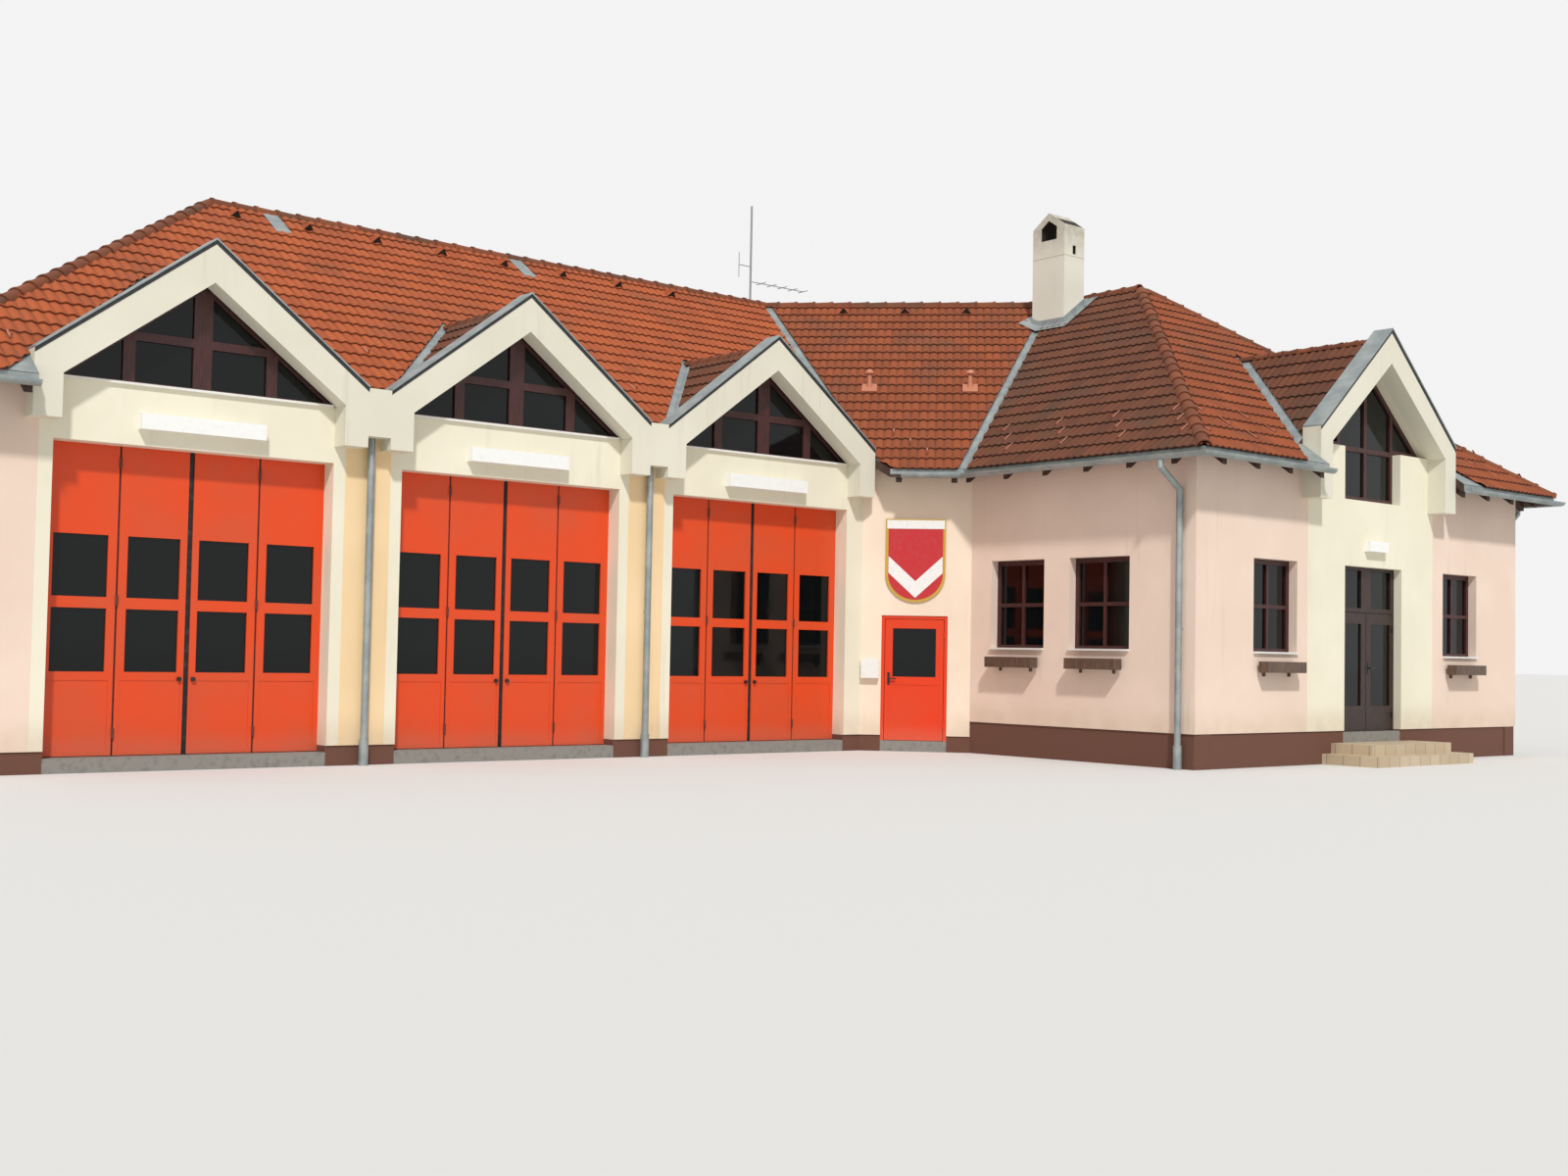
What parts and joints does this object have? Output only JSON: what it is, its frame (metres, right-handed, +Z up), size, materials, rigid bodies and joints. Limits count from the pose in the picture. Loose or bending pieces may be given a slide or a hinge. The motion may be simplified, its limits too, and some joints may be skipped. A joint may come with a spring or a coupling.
{
  "type": "fire station building",
  "caption": "Small fire station: a hall with folding gates under rendered gables, an angled link with a side door, and a wing with a gabled entrance.",
  "frame": {"origin": "lowest ground level under the middle of the building's outline", "axes": "+X to the right along the hall's front, +Y from the front to the back, +Z up"},
  "size_m": [26.7048, 18.0152, 10.61],
  "materials": {
    "rendered_wall": "fine painted render",
    "rendered_frame": "fine painted render",
    "rendered_chimney": "painted render",
    "concrete_floor": "floated concrete",
    "step_tiles": "unglazed tiles",
    "roof_tiles": "fired clay",
    "ridge_tiles": "fired clay",
    "zinc": "weathered sheet",
    "vent_plastic": "moulded",
    "stained_wood": "dark stain",
    "window_glass": "clear",
    "white_sill": "satin paint",
    "red_gate": "satin paint",
    "rubber_seal": "moulded",
    "brown_door": "dark stain",
    "door_handle": "moulded",
    "flower_box": "stained",
    "light_cover": "opal",
    "shield_paint": "gloss paint",
    "mailbox_paint": "satin paint"
  },
  "bodies": {
    "building": {"antenna": "zinc", "chimney": "rendered_chimney", "downpipes": "zinc", "entrance_frame": "brown_door", "entrance_gable_frame": "rendered_frame", "entrance_steps": "step_tiles", "floor_slabs": "concrete_floor", "flower_boxes": "flower_box", "gable_cappings": "zinc", "gable_frame_1": "rendered_frame", "gable_frame_2": "rendered_frame", "gable_frame_3": "rendered_frame", "gable_roofs": "roof_tiles", "gable_window_glass": "window_glass", "gable_windows": "stained_wood", "gate_glass": "window_glass", "gate_leaves": "red_gate", "gate_seals": "rubber_seal", "gutters": "zinc", "hall_back_wall": "rendered_wall", "hall_front_head": "rendered_wall", "hall_front_piers": "rendered_wall", "hall_left_wall": "rendered_wall", "hall_roof_back": "roof_tiles", "hall_roof_end": "roof_tiles", "hall_roof_front": "roof_tiles", "light_boxes": "light_cover", "link_back_wall": "rendered_wall", "link_roof_back": "roof_tiles", "link_roof_front": "roof_tiles", "mailbox": "mailbox_paint", "rafter_tails": "stained_wood", "ridge_tiles": "ridge_tiles", "roof_hatches": "zinc", "roof_vents": "vent_plastic", "shield_board": "shield_paint", "side_door_frame": "red_gate", "side_door_head": "rendered_wall", "side_door_piers": "rendered_wall", "valley_panels": "rendered_frame", "window_frames": "stained_wood", "window_glass": "window_glass", "window_sills": "white_sill", "wing_front_head": "rendered_wall", "wing_front_piers": "rendered_wall", "wing_right_wall": "rendered_wall", "wing_roof_front": "roof_tiles", "wing_roof_left": "roof_tiles", "wing_roof_right": "roof_tiles", "wing_side_wall": "rendered_wall"},
    "side_door": {"side_door_leaf": "red_gate", "side_door_glass": "window_glass", "side_door_handle": "door_handle"},
    "entrance_left": {"entrance_leaf_left": "brown_door", "entrance_glass_left": "window_glass"},
    "entrance_right": {"entrance_leaf_right": "brown_door", "entrance_glass_right": "window_glass", "entrance_handle": "door_handle"}
  },
  "joints": [
    {"name": "side_door_hinge", "type": "hinge", "parent": "building", "child": "side_door", "pos_m": [2.92375, -3.14367, 1.2], "axis": [0, 0, 1], "range_deg": [0, 100]},
    {"name": "entrance_hinge_left", "type": "hinge", "parent": "building", "child": "entrance_left", "pos_m": [7.22176, -7.91557, 1.5], "axis": [0, 0, -1], "range_deg": [0, 90]},
    {"name": "entrance_hinge_right", "type": "hinge", "parent": "building", "child": "entrance_right", "pos_m": [8.80376, -7.91557, 1.5], "axis": [0, 0, 1], "range_deg": [0, 90]}
  ]
}
